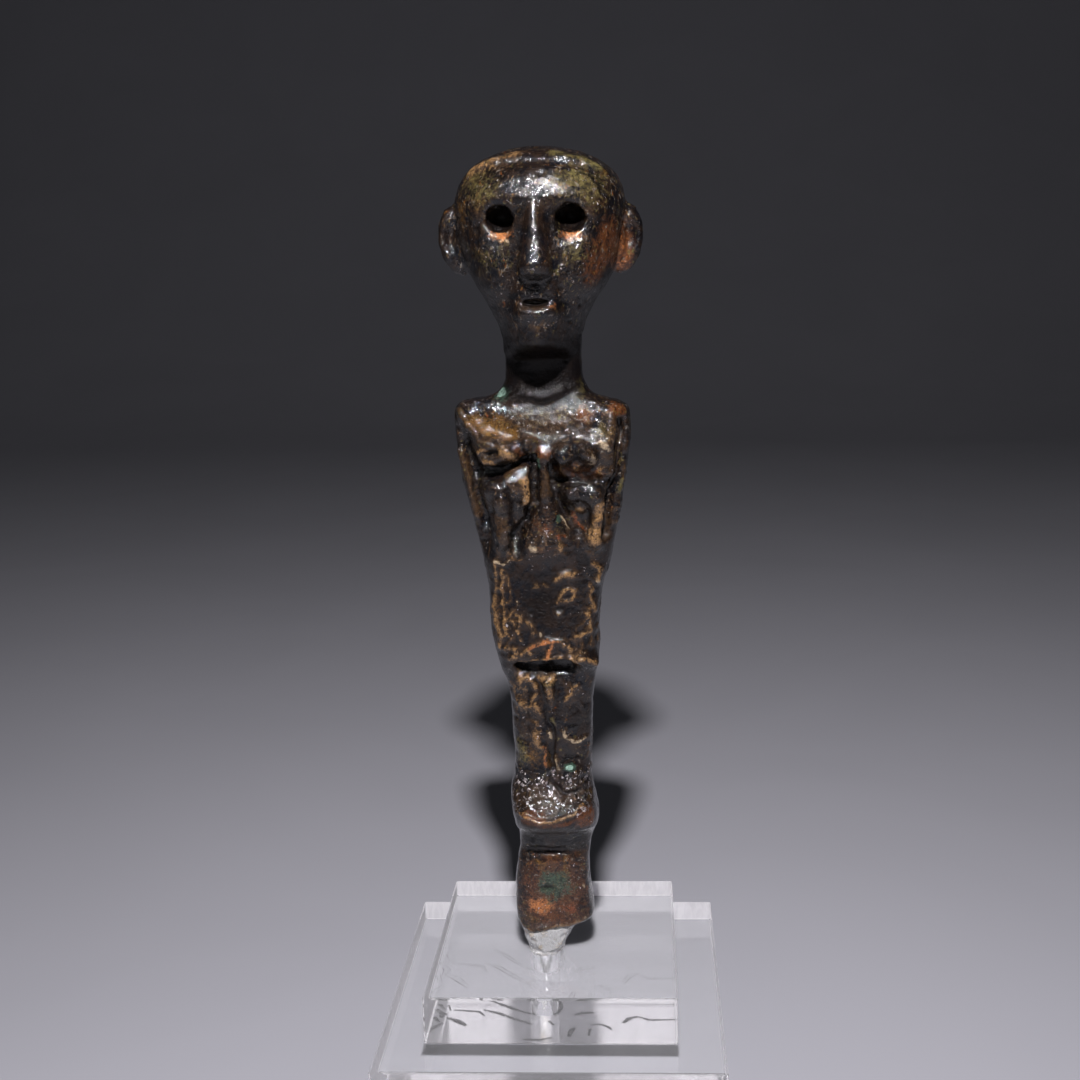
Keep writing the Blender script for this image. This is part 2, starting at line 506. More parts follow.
def copy_of_node(node, name):
    """A merged copy of a CAD node's mesh, as a new object at the origin."""
    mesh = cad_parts[node].data.copy()
    mesh.name = name
    mesh.materials.clear()
    obj = bpy.data.objects.new(name, mesh)
    bpy.context.scene.collection.objects.link(obj)
    shell = bmesh.new()
    shell.from_mesh(mesh)
    bmesh.ops.remove_doubles(shell, verts=shell.verts, dist=MERGE_DISTANCE)
    shell.to_mesh(mesh)
    shell.free()
    return obj


def apply_modifier(obj, kind, **settings):
    select_only(obj)
    modifier = obj.modifiers.new(kind.title(), kind)
    for key, value in settings.items():
        setattr(modifier, key, value)
    bpy.ops.object.modifier_apply(modifier=modifier.name)


# Shader helpers

def link(tree, source, target):
    tree.links.new(source, target)


def feed(tree, value, socket):
    """Gives a socket a number, a colour or a link, or leaves it as it is."""
    if isinstance(value, (int, float)):
        socket.default_value = value
    elif isinstance(value, tuple):
        socket.default_value = (*value, 1.0)
    elif value is not None:
        link(tree, value, socket)


def new_material(name):
    material = bpy.data.materials.new(name)
    material.use_nodes = True
    tree = material.node_tree
    shader = tree.nodes["Principled BSDF"]
    return material, tree, shader


def add_node(tree, kind, **settings):
    node = tree.nodes.new(kind)
    for key, value in settings.items():
        setattr(node, key, value)
    return node


def set_inputs(node, values):
    for name, value in values.items():
        node.inputs[name].default_value = value


def new_group(name, inputs, outputs):
    """A shader group with float inputs (name, default) and outputs (name, socket type)."""
    group = bpy.data.node_groups.new(name, "ShaderNodeTree")
    for label, value in inputs:
        socket = group.interface.new_socket(label, in_out="INPUT", socket_type="NodeSocketFloat")
        socket.default_value = value
    for label, kind in outputs:
        group.interface.new_socket(label, in_out="OUTPUT", socket_type=kind)
    return group, group.nodes.new("NodeGroupInput"), group.nodes.new("NodeGroupOutput")


def mapped(tree, value, low, high, to_low=0.0, to_high=1.0):
    node = add_node(tree, "ShaderNodeMapRange", interpolation_type="SMOOTHSTEP")
    set_inputs(node, {"From Min": low, "From Max": high, "To Min": to_low, "To Max": to_high})
    link(tree, value, node.inputs["Value"])
    return node.outputs["Result"]


def maths(tree, operation, first, second, third=None):
    """A Math node on values or sockets. The third is what MULTIPLY_ADD adds."""
    node = add_node(tree, "ShaderNodeMath", operation=operation)
    for socket, value in zip(node.inputs, (first, second, third)):
        feed(tree, value, socket)
    return node.outputs[0]


def mixed(tree, factor, first, second):
    node = add_node(tree, "ShaderNodeMix", data_type="RGBA")
    for index, value in ((0, factor), (6, first), (7, second)):
        feed(tree, value, node.inputs[index])
    return node.outputs[2]


def mixed_values(tree, factor, first, second):
    node = add_node(tree, "ShaderNodeMix", data_type="FLOAT")
    for index, value in ((0, factor), (2, first), (3, second)):
        feed(tree, value, node.inputs[index])
    return node.outputs[0]


def summed(tree, first, first_share, second, second_share):
    """Two noises added, each times its share."""
    return maths(tree, "MULTIPLY_ADD", first, first_share, maths(tree, "MULTIPLY", second, second_share))


def add_bump(tree, height, strength, distance, target):
    bump = add_node(tree, "ShaderNodeBump")
    set_inputs(bump, {"Strength": strength, "Distance": distance})
    link(tree, height, bump.inputs["Height"])
    link(tree, bump.outputs["Normal"], target)


NOISE_CHARACTER = {"Roughness": 0.6, "Distortion": 0.6}


def plain_noise(tree, cell, detail, shift):
    """The mottle group's noise made of the material's own nodes, for what a group mustn't feed."""
    place = add_node(tree, "ShaderNodeTexCoord")
    moved = add_node(tree, "ShaderNodeVectorMath", operation="ADD")
    link(tree, place.outputs["Object"], moved.inputs[0])
    moved.inputs[1].default_value = (shift, shift, shift)
    texture = add_node(tree, "ShaderNodeTexNoise")
    set_inputs(texture, {"Scale": 1.0 / (cell * MM), "Detail": detail, **NOISE_CHARACTER})
    link(tree, moved.outputs[0], texture.inputs["Vector"])
    return texture.outputs["Fac"]


def patch_group():
    """Mottled mask over object coordinates: cell size in mm, threshold and softness of the edge, layers
    of detail, a shift that makes it another pattern, and how the cells are drawn out along X and Z."""
    if "Mottle mask" in bpy.data.node_groups:
        return bpy.data.node_groups["Mottle mask"]
    group, entry, leave = new_group(
        "Mottle mask",
        (("Cell mm", 3.0), ("Threshold", 0.5), ("Softness", 0.1), ("Detail", 5.0), ("Shift", 0.0),
         ("Squeeze X", 1.0), ("Squeeze Z", 1.0)),
        (("Mask", "NodeSocketFloat"), ("Noise", "NodeSocketFloat")),
    )
    place = add_node(group, "ShaderNodeTexCoord")
    squeeze = add_node(group, "ShaderNodeCombineXYZ")
    link(group, entry.outputs["Squeeze X"], squeeze.inputs["X"])
    squeeze.inputs["Y"].default_value = 1.0
    link(group, entry.outputs["Squeeze Z"], squeeze.inputs["Z"])
    drawn = add_node(group, "ShaderNodeVectorMath", operation="MULTIPLY")
    link(group, place.outputs["Object"], drawn.inputs[0])
    link(group, squeeze.outputs[0], drawn.inputs[1])
    shift = add_node(group, "ShaderNodeCombineXYZ")
    for axis in "XYZ":
        link(group, entry.outputs["Shift"], shift.inputs[axis])
    moved = add_node(group, "ShaderNodeVectorMath", operation="ADD")
    link(group, drawn.outputs[0], moved.inputs[0])
    link(group, shift.outputs[0], moved.inputs[1])
    texture = add_node(group, "ShaderNodeTexNoise")
    set_inputs(texture, NOISE_CHARACTER)
    scale = maths(group, "DIVIDE", 1000.0, entry.outputs["Cell mm"])
    link(group, moved.outputs[0], texture.inputs["Vector"])
    link(group, scale, texture.inputs["Scale"])
    link(group, entry.outputs["Detail"], texture.inputs["Detail"])
    low = maths(group, "SUBTRACT", entry.outputs["Threshold"], entry.outputs["Softness"])
    high = maths(group, "ADD", entry.outputs["Threshold"], entry.outputs["Softness"])
    step = add_node(group, "ShaderNodeMapRange", interpolation_type="SMOOTHSTEP")
    link(group, texture.outputs["Fac"], step.inputs["Value"])
    link(group, low, step.inputs["From Min"])
    link(group, high, step.inputs["From Max"])
    link(group, step.outputs["Result"], leave.inputs["Mask"])
    link(group, texture.outputs["Fac"], leave.inputs["Noise"])
    return group


def mottle(tree, cell, threshold=0.5, softness=0.1, detail=5.0, shift=0.0, squeeze_x=1.0, squeeze_z=1.0):
    node = add_node(tree, "ShaderNodeGroup", node_tree=patch_group())
    for socket, value in zip(node.inputs, (cell, threshold, softness, detail, shift, squeeze_x, squeeze_z)):
        socket.default_value = value
    return node


def attribute(tree, name):
    return add_node(tree, "ShaderNodeAttribute", attribute_name=name).outputs["Fac"]


def toned(tree, colour, gain):
    """A colour made lighter and darker by a factor."""
    node = add_node(tree, "ShaderNodeVectorMath", operation="SCALE")
    node.inputs[0].default_value = colour
    link(tree, gain, node.inputs["Scale"])
    return node.outputs[0]


def attribute_mask(tree, name, noise, low, high, spread):
    """An attribute of the mesh, its edge broken up by a noise."""
    shake = maths(tree, "MULTIPLY_ADD", noise, spread, -0.5 * spread)
    return mapped(tree, maths(tree, "ADD", attribute(tree, name), shake), low, high)


# Materials

BLACK_BROWN = (0.0042, 0.0030, 0.0028)
NAVY_BLACK = (0.0030, 0.0036, 0.0060)
CHOCOLATE = (0.013, 0.0068, 0.0042)
MID_BROWN = (0.075, 0.038, 0.016)
BROWN = (0.050, 0.026, 0.011)
RUST = (0.105, 0.034, 0.010)
TAN = (0.27, 0.150, 0.062)
PALE_TAN = (0.46, 0.35, 0.23)
OCHRE = (0.15, 0.072, 0.014)
ORANGE = (0.40, 0.145, 0.046)
CUPRITE = (0.17, 0.042, 0.010)
OLIVE = (0.120, 0.098, 0.034)
STONE = (0.19, 0.17, 0.145)
VERDIGRIS = (0.030, 0.060, 0.040)
PALE_GREEN = (0.26, 0.40, 0.32)
BARE_METAL = (0.52, 0.46, 0.46)

BRONZE_FINISH = {"Specular IOR Level": 0.1, "Coat IOR": 1.5, "Coat Roughness": 0.065}
CRUST_BUMP = 0.6
WAX_BUMP = 0.42
BRONZE_BUMP_DISTANCE = 0.35 * MM

# Tint layers from the lowest up: the attribute that places it, where its edge starts and ends,
# how strongly noise breaks it up, and how far it hides what is under it
TINT_LAYERS = (
    ("brown", 0.25, 0.95, 1.7, 0.75),
    ("rust", 0.30, 0.90, 1.5, 0.85),
    ("olive", 0.32, 0.98, 2.3, 0.8),
    ("ochre", 0.32, 0.95, 1.5, 0.85),
    ("tan", 0.34, 0.98, 2.6, 0.9),
    ("orange", 0.34, 0.92, 2.0, 0.9),
    ("red", 0.40, 0.95, 2.4, 0.85),
    ("green", 0.42, 0.80, 2.2, 0.9),
)

# Tints that lie as crumbs and not as a film
CRUMBLY_TINTS = ("tan", "orange", "red", "olive")

# Colours of the earth specks after olive, each with where it starts in the noise and where it is full
SPECK_COLOURS = ((0.40, 0.47, MID_BROWN), (0.50, 0.55, STONE), (0.57, 0.61, OCHRE), (0.64, 0.68, CUPRITE))

# Noises of the bronze: size of the cells in mm, layers of detail, and a shift for each its own pattern
MEDIUM_NOISE = {"cell": 2.4, "detail": 5.0, "shift": 0.13}
FINE_NOISE = {"cell": 0.8, "detail": 5.0, "shift": 0.31}
GRAIN_NOISE = {"cell": 0.35, "detail": 3.0, "shift": 0.57}

# How strongly the mesh's own masks add to the noises of the specks and the glints
SPECK_SPREAD = 0.17
GLINT_SPREAD = 0.115
GLINT_EDGE = (0.785, 0.805)


def lay_tints(tree, colour, settings, edge, crumbs, gain):
    """Lays the tints over the dark bronze, and gives the colour and where it is covered."""
    tints = {
        "brown": BROWN, "rust": RUST, "olive": tuple(settings.olive), "ochre": tuple(settings.ochre),
        "tan": tuple(settings.tan), "orange": tuple(settings.orange), "red": tuple(settings.cuprite),
        "green": tuple(settings.verdigris),
    }
    covered = None
    for name, low, high, spread, hide in TINT_LAYERS:
        broken = crumbs if name in CRUMBLY_TINTS else edge
        mask = attribute_mask(tree, name, broken, low, high, spread)
        colour = mixed(tree, maths(tree, "MULTIPLY", mask, hide), colour, toned(tree, tints[name], gain))
        covered = mask if covered is None else maths(tree, "MAXIMUM", covered, mask)
    return colour, covered


def lay_specks(tree, colour, speck):
    """Fine specks of earth and corrosion, thick where the mesh says so and drawn out down the head."""
    streak = mottle(tree, 0.75, 0.5, 0.06, 4.0, shift=0.77, squeeze_z=0.62).outputs["Noise"]
    kind = mottle(tree, 2.1, 0.5, 0.1, 3.0, shift=0.83).outputs["Noise"]
    drawn = mixed_values(tree, attribute(tree, "streaks"), speck, streak)
    density = maths(tree, "MULTIPLY_ADD", attribute(tree, "specks"), SPECK_SPREAD, -SPECK_SPREAD)
    specks = mapped(tree, maths(tree, "ADD", drawn, density), 0.49, 0.64)
    speck_colour = OLIVE
    for low, high, following in SPECK_COLOURS:
        speck_colour = mixed(tree, mapped(tree, kind, low, high), speck_colour, following)
    colour = mixed(tree, maths(tree, "MULTIPLY", specks, 0.7), colour, speck_colour)
    gaps = mapped(tree, drawn, 0.47, 0.36)
    return mixed(tree, maths(tree, "MULTIPLY", gaps, 0.75), colour, BLACK_BROWN)


def crust_glints(tree):
    """Tiny glints where the crust is broken, with none in the dark hollows."""
    glint = mottle(tree, 0.7, 0.5, 0.05, 3.0, shift=0.19).outputs["Noise"]
    crusted = maths(tree, "MULTIPLY_ADD", attribute(tree, "crust"), GLINT_SPREAD, glint)
    open_metal = mapped(tree, attribute(tree, "dark"), 0.2, 0.5, 1.0, 0.0)
    return maths(tree, "MULTIPLY", mapped(tree, crusted, *GLINT_EDGE), open_metal)


def bronze_material(settings):
    material, tree, shader = new_material("patinated_bronze")
    broad = mottle(tree, 7.0, 0.5, 0.12)
    middle = mottle(tree, **MEDIUM_NOISE)
    medium = middle.outputs["Noise"]
    fine = mottle(tree, **FINE_NOISE).outputs["Noise"]
    grain = mottle(tree, **GRAIN_NOISE).outputs["Noise"]
    speck = mottle(tree, 0.75, 0.5, 0.06, 4.0, shift=0.71).outputs["Noise"]
    edge = summed(tree, medium, 0.5, fine, 0.5)
    crumbs = summed(tree, speck, 0.6, medium, 0.4)
    gain = mapped(tree, grain, 0.36, 0.64, 0.55, 1.25)

    colour = mixed(tree, broad.outputs["Mask"], BLACK_BROWN, NAVY_BLACK)
    colour = mixed(tree, middle.outputs["Mask"], colour, CHOCOLATE)
    colour, covered = lay_tints(tree, colour, settings, edge, crumbs, gain)
    colour = lay_specks(tree, colour, speck)
    pale = attribute_mask(tree, "pale", edge, 0.45, 0.85, 2.4)
    colour = mixed(tree, maths(tree, "MULTIPLY", pale, 0.75), colour, toned(tree, PALE_TAN, gain))
    bright_green = mapped(tree, attribute(tree, "green"), 0.96, 1.12)
    colour = mixed(tree, bright_green, colour, toned(tree, PALE_GREEN, gain))
    dark = attribute_mask(tree, "dark", edge, 0.25, 0.80, 1.0)
    colour = mixed(tree, maths(tree, "MULTIPLY", dark, 0.8), colour, BLACK_BROWN)
    glints = crust_glints(tree)
    link(tree, mixed(tree, glints, colour, BARE_METAL), shader.inputs["Base Color"])

    rough = mapped(tree, medium, 0.35, 0.65, 0.30, 0.46)
    link(tree, maths(tree, "MULTIPLY_ADD", covered, 0.12, rough), shader.inputs["Roughness"])
    metal = mapped(tree, covered, 0.0, 1.0, 0.08, 0.03)
    link(tree, maths(tree, "MAXIMUM", metal, glints), shader.inputs["Metallic"])
    wax_off_dark = mapped(tree, attribute(tree, "dark"), 0.45, 1.1, 1.0, 0.15)
    wax_off_matt = mapped(tree, attribute(tree, "matt"), 0.0, 1.0, 1.0, 0.2)
    link(tree, maths(tree, "MULTIPLY", wax_off_dark, wax_off_matt), shader.inputs["Coat Weight"])
    set_inputs(shader, BRONZE_FINISH)
    crust = summed(tree, grain, 0.7, speck, 1.1)
    add_bump(tree, crust, CRUST_BUMP, BRONZE_BUMP_DISTANCE, shader.inputs["Normal"])
    wax_noises = (MEDIUM_NOISE, FINE_NOISE, GRAIN_NOISE)
    waves, ripples, grit = (plain_noise(tree, **values) for values in wax_noises)
    crusted = maths(tree, "MULTIPLY", summed(tree, grit, 0.25, ripples, 1.4), attribute(tree, "crust"))
    wax = maths(tree, "MULTIPLY_ADD", waves, 0.9, crusted)
    add_bump(tree, wax, WAX_BUMP, BRONZE_BUMP_DISTANCE, shader.inputs["Coat Normal"])
    return material


def let_light_through(tree, shader, tint):
    """Light reaches what stands under a clear piece: its shadow is only a faint tint."""
    ray = add_node(tree, "ShaderNodeLightPath")
    clear = add_node(tree, "ShaderNodeBsdfTransparent")
    clear.inputs["Color"].default_value = (*tint, 1.0)
    both = add_node(tree, "ShaderNodeMixShader")
    passed = maths(tree, "MAXIMUM", ray.outputs["Is Shadow Ray"], ray.outputs["Is Diffuse Ray"])
    link(tree, passed, both.inputs["Fac"])
    link(tree, shader.outputs["BSDF"], both.inputs[1])
    link(tree, clear.outputs["BSDF"], both.inputs[2])
    link(tree, both.outputs["Shader"], tree.nodes["Material Output"].inputs["Surface"])
    return clear


def inside(tree, value, low, high):
    """1 between two values, 0 outside them."""
    above = maths(tree, "GREATER_THAN", value, low)
    return maths(tree, "MULTIPLY", above, maths(tree, "LESS_THAN", value, high))


# Light that passes through each clear piece, and how each bends it
CLEAR_SHADE = (0.97, 0.97, 0.97)
STRIP_SHADE = (0.05, 0.05, 0.05)
SAWN_SHADE = (0.8, 0.8, 0.8)
ADHESIVE_SHADE = (0.9, 0.9, 0.9)
POLISHED_FINISH = {"Transmission Weight": 0.92, "IOR": 1.49}
SAWN_FINISH = {"Transmission Weight": 0.35, "IOR": 1.49}
ADHESIVE_FINISH = {"Transmission Weight": 0.6, "IOR": 1.47}

HAZY_ACRYLIC = (0.94, 0.94, 0.95)
SAWN_GREY = (0.84, 0.82, 0.84)
THIN_CEMENT = (0.12, 0.115, 0.115)
DARK_CEMENT = (0.045, 0.044, 0.045)
CLEAR_ADHESIVE = (0.97, 0.97, 0.97)
HAZY_ADHESIVE = (0.88, 0.87, 0.86)

# Where the light that reaches the dark strip would cross the plate's top, in mm from the stand's middle
STRIP_Y = (-27.95, -24.15)

# How far under the plate's top a face still counts as its top, in mm
STRIP_SKIN = 0.5


def acrylic_material(name, settings):
    """Polished acrylic, with a faint haze and fine scratches from left to right."""
    material, tree, shader = new_material(name)
    haze = mottle(tree, 9.0, 0.5, 0.2, 5.0, shift=0.2, squeeze_x=0.25).outputs["Mask"]
    scratch = mottle(tree, 0.5, 0.66, 0.05, 3.0, shift=0.6, squeeze_x=0.06).outputs["Mask"]
    marks = maths(tree, "MULTIPLY_ADD", scratch, 0.5, haze)
    link(tree, mapped(tree, marks, 0.0, 1.5, 0.0, settings.haze), shader.inputs["Roughness"])
    tint = mixed(tree, haze, tuple(settings.acrylic_tint), HAZY_ACRYLIC)
    link(tree, tint, shader.inputs["Base Color"])
    set_inputs(shader, POLISHED_FINISH)
    return material, tree, let_light_through(tree, shader, CLEAR_SHADE)


def shade_under_block(tree, clear):
    """Light that enters the block's front face is turned back at the joint, so it leaves a dark strip
    under the plate's top, just in front of the block."""
    place = add_node(tree, "ShaderNodeTexCoord")
    split = add_node(tree, "ShaderNodeSeparateXYZ")
    link(tree, place.outputs["Object"], split.inputs[0])
    low, high = STRIP_Y
    across = inside(tree, split.outputs["X"], BLOCK_LOW[0], BLOCK_HIGH[0])
    along = inside(tree, split.outputs["Y"], low * MM, high * MM)
    above = maths(tree, "GREATER_THAN", split.outputs["Z"], (PLATE_TOP - STRIP_SKIN) * MM)
    strip = maths(tree, "MULTIPLY", maths(tree, "MULTIPLY", across, along), above)
    link(tree, mixed(tree, strip, CLEAR_SHADE, STRIP_SHADE), clear.inputs["Color"])


def sawn_material(settings):
    """Saw-cut side of the acrylic: it scatters the light inside the sheet and glows white."""
    if "sawn_acrylic" in bpy.data.materials:
        return bpy.data.materials["sawn_acrylic"]
    material, tree, shader = new_material("sawn_acrylic")
    cut = mottle(tree, 1.2, 0.5, 0.15, 4.0, shift=0.5, squeeze_x=1.6, squeeze_z=0.12).outputs["Mask"]
    link(tree, mixed(tree, cut, tuple(settings.sawn_tint), SAWN_GREY), shader.inputs["Base Color"])
    link(tree, mapped(tree, cut, 0.0, 1.0, 0.8, 0.95), shader.inputs["Roughness"])
    set_inputs(shader, SAWN_FINISH)
    let_light_through(tree, shader, SAWN_SHADE)
    return material


def cement_material():
    """Solvent cement wetting the joint: clear from above, dark where the joint is seen along its length."""
    material, tree, shader = new_material("joint_cement")
    streaky = mottle(tree, 1.4, 0.42, 0.12, 4.0, shift=0.35).outputs["Mask"]
    smoky = mottle(tree, 0.9, 0.50, 0.16, 5.0, shift=0.55).outputs["Mask"]
    smoke = maths(tree, "MULTIPLY", smoky, 0.8)
    thick = mixed_values(tree, attribute(tree, "smoky"), streaky, smoke)
    slant = add_node(tree, "ShaderNodeLayerWeight")
    slant.inputs["Blend"].default_value = 0.5
    seen = mapped(tree, slant.outputs["Facing"], 0.25, 0.6, 0.012, 0.85)
    link(tree, maths(tree, "MULTIPLY", seen, thick), shader.inputs["Alpha"])
    link(tree, mixed(tree, thick, THIN_CEMENT, DARK_CEMENT), shader.inputs["Base Color"])
    shader.inputs["Roughness"].default_value = 0.3
    return material


def adhesive_material(settings):
    """Crinkled set adhesive, whitish with a little amber."""
    material, tree, shader = new_material("clear_adhesive")
    haze = mottle(tree, 1.2, 0.5, 0.15, 5.0, shift=0.4)
    amber = mottle(tree, 2.6, 0.6, 0.06, 4.0, shift=0.9).outputs["Mask"]
    colour = mixed(tree, haze.outputs["Mask"], CLEAR_ADHESIVE, HAZY_ADHESIVE)
    colour = mixed(tree, maths(tree, "MULTIPLY", amber, 0.4), colour, tuple(settings.amber))
    link(tree, colour, shader.inputs["Base Color"])
    link(tree, mapped(tree, haze.outputs["Mask"], 0.0, 1.0, 0.05, 0.30), shader.inputs["Roughness"])
    set_inputs(shader, ADHESIVE_FINISH)
    add_bump(tree, haze.outputs["Noise"], 0.5, 0.4 * MM, shader.inputs["Normal"])
    let_light_through(tree, shader, ADHESIVE_SHADE)
    return material


def floor_material(settings):
    material, tree, shader = new_material("pale_floor")
    cloud = mottle(tree, 160.0, 0.5, 0.3, 3.0)
    pale = tuple(settings.floor_colour)
    colour = mixed(tree, cloud.outputs["Mask"], pale, tuple(0.94 * value for value in pale))
    link(tree, colour, shader.inputs["Base Color"])
    shader.inputs["Roughness"].default_value = 0.7
    return material


# Pieces

def front_tints(x, z, facing):
    tints = {name: np.zeros(len(x)) for name in TINTS}

    def lay(name, amount):
        tints[name] = np.maximum(tints[name], amount * facing)

    for path, width, _, tint in FRONT_STROKES + HEAD_STROKES:
        if tint is None:
            continue
        reach = path_distance(x, z, path) / (0.95 * width + 0.1)
        strength = UPPER_STRENGTH if path[0][1] > UPPER_HALF else LOWER_STRENGTH
        lay(tint, strength * falloff(reach))
        if tint in BROWN_EDGED_TINTS:
            lay("brown", strength * falloff(reach / 2.1))
    for at_x, at_z, half_width, half_height, tint, strength in FRONT_PATCHES:
        lay(tint, strength * spot(x, z, at_x, at_z, half_width, half_height))
    return tints


def speck_density(x, z, facing):
    """How thickly the earth specks lie, from the head down to the tang."""
    heights, amounts = zip(*SPECK_DENSITY)
    density = np.interp(z, heights, amounts)
    belly = falloff(x / 5.0) * zone(z, *BELLY)
    brow = falloff((x - HEAD_CENTRE) / 3.2) * smooth_step(134.0, 140.0, z)
    return density + (0.4 * spot(x, z, *EARTHY_MIDDLE) - 0.3 * belly - 0.45 * brow) * facing


def stroke_relief(place, shaken, front, on_ear, vary):
    """Rise of the strokes in mm. Those of the head aren't shaken."""
    rise = np.zeros(len(front))
    for path, width, height, _ in FRONT_STROKES:
        reach = path_distance(*shaken, path) / width
        carved = height * falloff(reach)
        if height < DEEP_CUT:
            carved += 0.4 * height * falloff(reach / 2.4)
        rise += carved * front * vary
    for path, width, height, _ in HEAD_STROKES:
        rise += height * falloff(path_distance(*place, path) / width) * front * (1.0 - on_ear)
    for side in (-1, 1):
        shell = [(HEAD_CENTRE + side * out, height) for out, height in EAR_SHELL]
        rise -= EAR_SHELL_DEPTH * falloff(path_distance(*place, shell) / EAR_SHELL_WIDTH) * front * on_ear
    return rise


def corrosion_veins(local, behind):
    """Masks of the ridged veins and of the brown beside them, on the parts that show them."""
    x, _, z = local.T
    ridges = np.abs(layered_noise(local, 3.1, 11))
    patchy = smooth_step(-0.15, 0.45, layered_noise(local, 9.0, 21))
    side = smooth_step(3.0, 8.0, np.abs(x - BODY_CENTRE))
    arms = zone(z, *ARMS) * smooth_step(11.0, 13.0, np.abs(x))
    where = zone(z, *TUNIC) * np.maximum(side, behind) + 0.7 * zone(z, *LEGS) + 0.6 * arms + 0.25
    where = np.clip(patchy * 1.2, 0.0, 1.0) * np.clip(where, 0.0, 1.0)
    return [np.clip(1.0 - ridges / width, 0.0, 1.0) * where for width in (VEIN_WIDTH, VEIN_EDGE)]


def dark_hollows(local, sculpted, pits):
    """Where the bronze is darkest: in deep cuts, on the throat, in the eyes and in the pits."""
    x, y, z = local.T
    cuts = 0.6 * smooth_step(0.2, 1.2, -sculpted)
    throat = 1.4 * falloff((z - THROAT) / 6.0) * smooth_step(0.0, 3.0, -y)
    from_eye = [np.hypot(x - HEAD_CENTRE - side * EYE_OUT, z - EYE_LINE) for side in (-1, 1)]
    in_eye = 1.0 - smooth_step(*EYE_REACH, np.minimum(*from_eye))
    eyes = in_eye * smooth_step(*EYE_DEPTH, y) * (z > THROAT)
    return np.maximum.reduce([cuts, throat, eyes, 2.0 * pits])


def make_figure(settings):
    obj = copy_of_node("bronze_figure", "figure_casting")
    apply_modifier(obj, "REMESH", mode="VOXEL", voxel_size=settings.mesh_spacing)
    apply_modifier(obj, "SMOOTH", factor=0.5, iterations=9)
    mesh = obj.data
    points = mesh_points(mesh)
    normals = point_normals(mesh)
    local = points / MM - np.array([0.0, FIGURE_Y, TANG_FOOT])
    x, _, z = local.T
    front = smooth_step(0.12, 0.5, -normals[:, 1])
    behind = smooth_step(0.1, 0.4, normals[:, 1])
    on_ear = smooth_step(12.8, 14.2, np.abs(x - HEAD_CENTRE)) * smooth_step(129.0, 131.0, z)
    below_chin = 1.0 - smooth_step(112.0, 118.0, z)
    shaken = [
        value + STROKE_SHAKE * layered_noise(local, 2.2, seed) * below_chin
        for value, seed in ((x, 81), (z, 91))
    ]
    vary = 1.0 + 0.35 * lattice_noise(local, 2.4, 101)
    sculpted = settings.relief * stroke_relief((x, z), shaken, front, on_ear, vary)
    veins, beside_veins = corrosion_veins(local, behind)
    rise = sculpted + settings.vein_height / MM * veins

    # Uneven casting skin and corrosion pits
    feet = zone(z, *FEET) * front
    collar = zone(z, *COLLAR) * front
    triangle = spot(x, z, *EARTHY_TRIANGLE) * front
    rise += 0.16 * lattice_noise(local, 6.0, 31)
    rise += 0.09 * lattice_noise(local, 2.6, 41)
    rise += layered_noise(local, 1.1, 51) * (0.05 + 0.24 * feet + 0.12 * collar + 0.18 * triangle)
    pits = np.clip(lattice_noise(local, 1.5, 61) - 0.5, 0.0, 1.0)
    rise -= 0.7 * pits
    points += normals * (rise * MM)[:, None]
    low = np.array(FIGURE_LOW) + BOX_MARGIN
    high = np.array(FIGURE_HIGH) - BOX_MARGIN
    set_points(mesh, np.clip(points, low, high))

    # Masks that the material reads
    layers = front_tints(*shaken, front)
    layers["tan"] = np.maximum(layers["tan"], 0.66 * veins)
    layers["brown"] = np.maximum(layers["brown"], 1.1 * beside_veins)
    layers["dark"] = np.maximum(layers["dark"], dark_hollows(local, sculpted, pits))
    layers["specks"] = speck_density(x, z, front)
    layers["streaks"] = smooth_step(116.0, 120.0, z)
    fists = spot(np.abs(x - BODY_CENTRE), z, *FISTS) * front
    layers["crust"] = 0.75 + feet + 0.35 * collar + 0.55 * triangle + 0.35 * fists + 0.1 * layers["streaks"]
    layers["matt"] = np.maximum(0.75 * spot(x, z, *CHEST_SHEEN), 0.55 * spot(x, z, *BELLY_SHEEN)) * front
    for name, values in layers.items():
        put_attribute(mesh, name, values)
    select_only(obj)
    bpy.ops.object.shade_smooth()
    mesh.materials.append(bronze_material(settings))
    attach(obj, "root")
    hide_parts("bronze_figure")


def box_piece(name, low, high, edge):
    """A box between two corners with rounded edges, its size and place in the mesh."""
    bpy.ops.object.select_all(action="DESELECT")
    bpy.ops.mesh.primitive_cube_add(size=1.0, location=(0.0, 0.0, 0.0))
    obj = bpy.context.object
    obj.name = name
    obj.data.name = name
    size = Vector(high) - Vector(low)
    middle = (Vector(high) + Vector(low)) / 2
    bpy.ops.object.mode_set(mode="EDIT")
    bpy.ops.mesh.select_all(action="SELECT")
    bpy.ops.transform.resize(value=tuple(size), center_override=(0.0, 0.0, 0.0))
    bpy.ops.transform.translate(value=tuple(middle))
    bpy.ops.mesh.bevel(offset=edge, segments=2, affect="EDGES")
    bpy.ops.object.mode_set(mode="OBJECT")
    return obj


def finish_sheet(obj, polished, settings, half):
    """Polished above, below and in front, saw-cut on the other three sides."""
    obj.data.materials.append(polished)
    obj.data.materials.append(sawn_material(settings))
    for face in obj.data.polygons:
        beside = abs(face.normal.x) > 0.9 and abs(abs(face.center.x) - half) < 0.1 * MM
        behind = face.normal.y > 0.9 and abs(face.center.y - half) < 0.1 * MM
        face.material_index = int(beside or behind)


# A hair's breadth under the block, so that two clear faces don't lie in one plane, in metres
JOINT_GAP = 0.03 * MM


